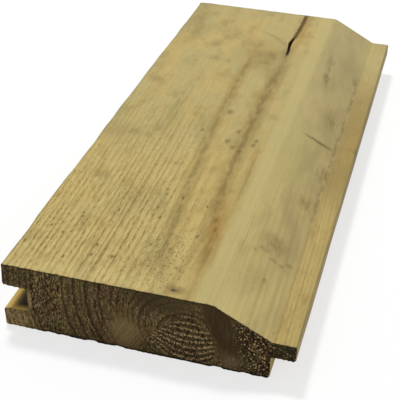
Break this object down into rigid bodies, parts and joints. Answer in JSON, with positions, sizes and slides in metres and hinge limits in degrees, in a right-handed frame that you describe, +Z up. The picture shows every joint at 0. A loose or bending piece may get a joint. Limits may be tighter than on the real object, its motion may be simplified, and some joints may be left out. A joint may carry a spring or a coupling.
{
  "type": "tongue and groove board",
  "caption": "Short length of planed softwood board with a groove along one edge, a tongue along the other and a wide chamfer beside the tongue.",
  "frame": {"origin": "middle of the flat back, on the surface that the board lies on", "axes": "+X across the board from the groove edge to the tongue, +Y along the grain, +Z up from the back to the face"},
  "size_m": [0.125, 0.3, 0.032],
  "materials": {
    "timber": "planed, pressure-treated softwood, unfinished"
  },
  "bodies": {
    "root": {"board": "timber"}
  },
  "joints": []
}
